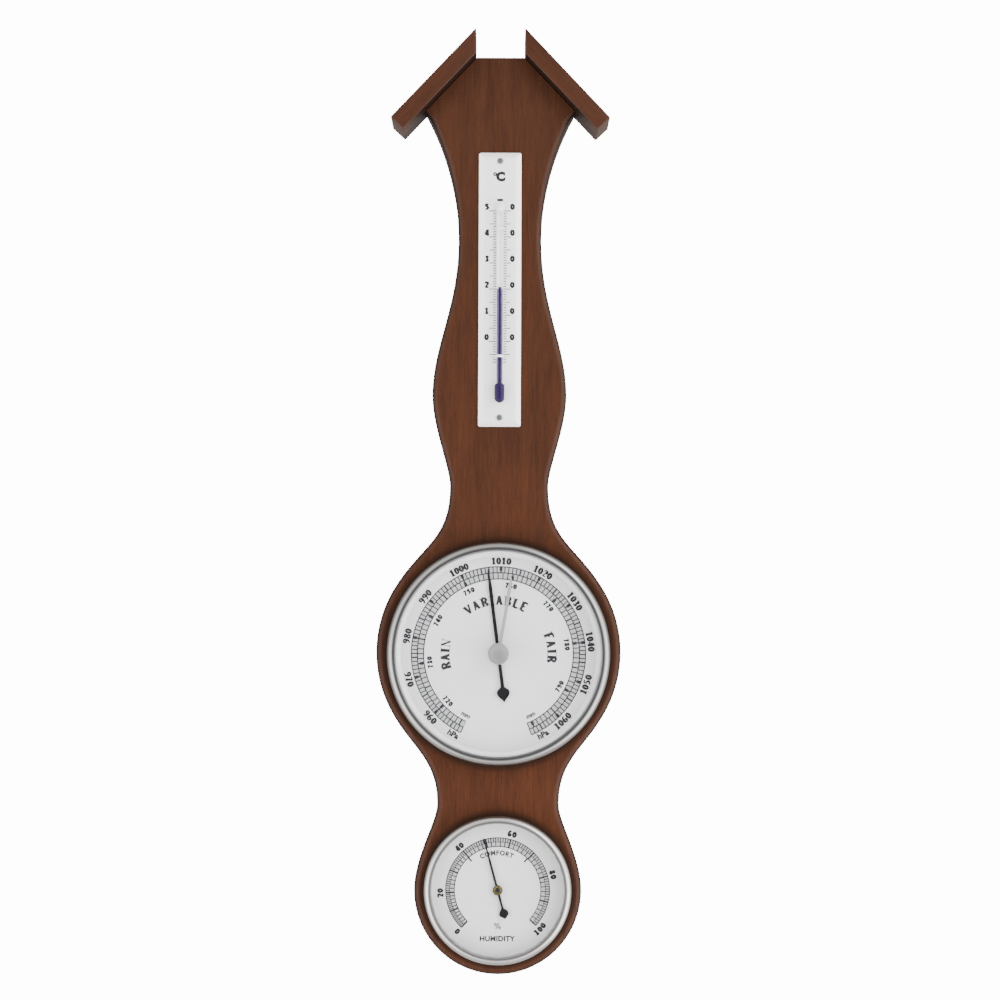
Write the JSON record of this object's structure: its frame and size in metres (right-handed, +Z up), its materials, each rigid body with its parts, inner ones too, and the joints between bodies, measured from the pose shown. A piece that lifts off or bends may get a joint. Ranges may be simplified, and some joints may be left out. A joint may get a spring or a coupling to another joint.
{
  "type": "wall barometer",
  "caption": "Banjo-shaped wooden wall weather station under a small roof, with thermometer, aneroid barometer with set hand, and hygrometer.",
  "frame": {"origin": "top of the keyhole slot of the hanger, in the plane of the wall", "axes": "+Z up along the board, +Y into the wall (the dials face -Y), +X to the right seen from the front"},
  "size_m": [0.1136, 0.0322, 0.4395],
  "materials": {
    "walnut": "walnut-stained solid wood with a satin lacquer",
    "roof_wood": "the same stained wood, lit paler by its slope",
    "bezel_silver": "bright silver plating, rolled and polished",
    "case_tin": "plain tinned sheet",
    "steel": "bright steel",
    "brass": "bare brass",
    "dial_silver": "fine silvered matt face with black print",
    "scale_plate": "satin silver-white plate with black print",
    "white_lacquer": "satin white lacquer",
    "black_lacquer": "satin black lacquer",
    "glass": "clear polished",
    "spirit": "dyed blue-violet thermometer spirit"
  },
  "bodies": {
    "root": {"back_board": "walnut", "roof_slat_left": "roof_wood", "roof_slat_right": "roof_wood", "hanger_plate": "steel", "hanger_screw_left": "steel", "hanger_screw_right": "steel", "barometer_case": "case_tin", "barometer_bezel": "bezel_silver", "barometer_glass": "glass", "barometer_spacer_ring": "white_lacquer", "barometer_dial": "dial_silver", "movement_plate": "brass", "movement_screw_1": "steel", "movement_screw_2": "steel", "movement_screw_3": "steel", "aneroid_capsule": "brass", "main_spring": "steel", "spring_block": "brass", "shaft_bracket": "brass", "pointer_chain": "steel", "pointer_cage": "brass", "hairspring": "steel", "cage_pillar_left": "brass", "cage_pillar_right": "brass", "cage_screw_left": "steel", "cage_screw_right": "steel", "hygrometer_case": "case_tin", "hygrometer_bezel": "bezel_silver", "hygrometer_glass": "glass", "hygrometer_spacer_ring": "case_tin", "hygrometer_dial": "dial_silver", "hygrometer_bush": "brass", "humidity_coil": "brass", "coil_bracket": "case_tin", "thermometer_plate": "scale_plate", "thermometer_tube": "glass", "bulb_spirit": "spirit", "spirit_column": "spirit", "upper_tube_clip": "case_tin", "lower_tube_clip": "white_lacquer", "plate_nail_lower": "steel", "plate_nail_upper": "steel"},
    "pointer": {"barometer_pointer": "black_lacquer", "pointer_arbor": "steel"},
    "rocking_shaft": {"rocking_shaft": "steel"},
    "main_lever": {"main_lever": "brass"},
    "capsule_post": {"capsule_post": "steel"},
    "set_hand": {"set_hand": "bezel_silver", "set_hand_washer": "brass", "set_knob": "bezel_silver"},
    "adjusting_screw": {"adjusting_screw": "brass"},
    "hygrometer_pointer": {"hygrometer_pointer": "black_lacquer", "hygrometer_collet": "brass", "hygrometer_arbor": "steel", "coil_collar": "brass"},
    "meniscus": {"spirit_meniscus": "spirit"}
  },
  "joints": [
    {"name": "pointer_turn", "type": "hinge", "parent": "root", "child": "pointer", "pos_m": [0, -0.018, -0.25885], "axis": [0, 1, 0], "range_deg": [-148, 164], "deforming": ["aneroid_capsule", "main_spring", "pointer_chain", "hairspring"]},
    {"name": "rocking_shaft_turn", "type": "hinge", "parent": "root", "child": "rocking_shaft", "pos_m": [0, -0.008, -0.24085], "axis": [1, 0, 0], "range_deg": [-15, 16.6]},
    {"name": "main_lever_tilt", "type": "hinge", "parent": "root", "child": "main_lever", "pos_m": [0, -0.0105, -0.29185], "axis": [1, 0, 0], "range_deg": [-1.05, 0.95]},
    {"name": "capsule_post_slide", "type": "slide", "parent": "root", "child": "capsule_post", "axis": [0, 1, 0], "range_m": [-0.00031, 0.000345]},
    {"name": "set_hand_turn", "type": "hinge", "parent": "root", "child": "set_hand", "pos_m": [0, -0.03, -0.25885], "axis": [0, 1, 0], "continuous": true},
    {"name": "adjusting_screw_turn", "type": "hinge", "parent": "root", "child": "adjusting_screw", "pos_m": [0, -0.003, -0.29585], "axis": [0, 1, 0], "range_deg": [-180, 180]},
    {"name": "hygrometer_pointer_turn", "type": "hinge", "parent": "root", "child": "hygrometer_pointer", "pos_m": [0, -0.018, -0.3673], "axis": [0, 1, 0], "range_deg": [-119, 148], "deforming": ["humidity_coil"]},
    {"name": "spirit_rise", "type": "slide", "parent": "root", "child": "meniscus", "axis": [0, 0, 1], "range_m": [-0.035, 0.0359], "deforming": ["spirit_column"]}
  ],
  "couplings": [
    {"joint": "rocking_shaft_turn", "follows": "pointer_turn", "ratio": 0.1},
    {"joint": "main_lever_tilt", "follows": "pointer_turn", "ratio": -0.00625},
    {"joint": "capsule_post_slide", "follows": "pointer_turn", "m_per_rad": 0.00011875}
  ]
}
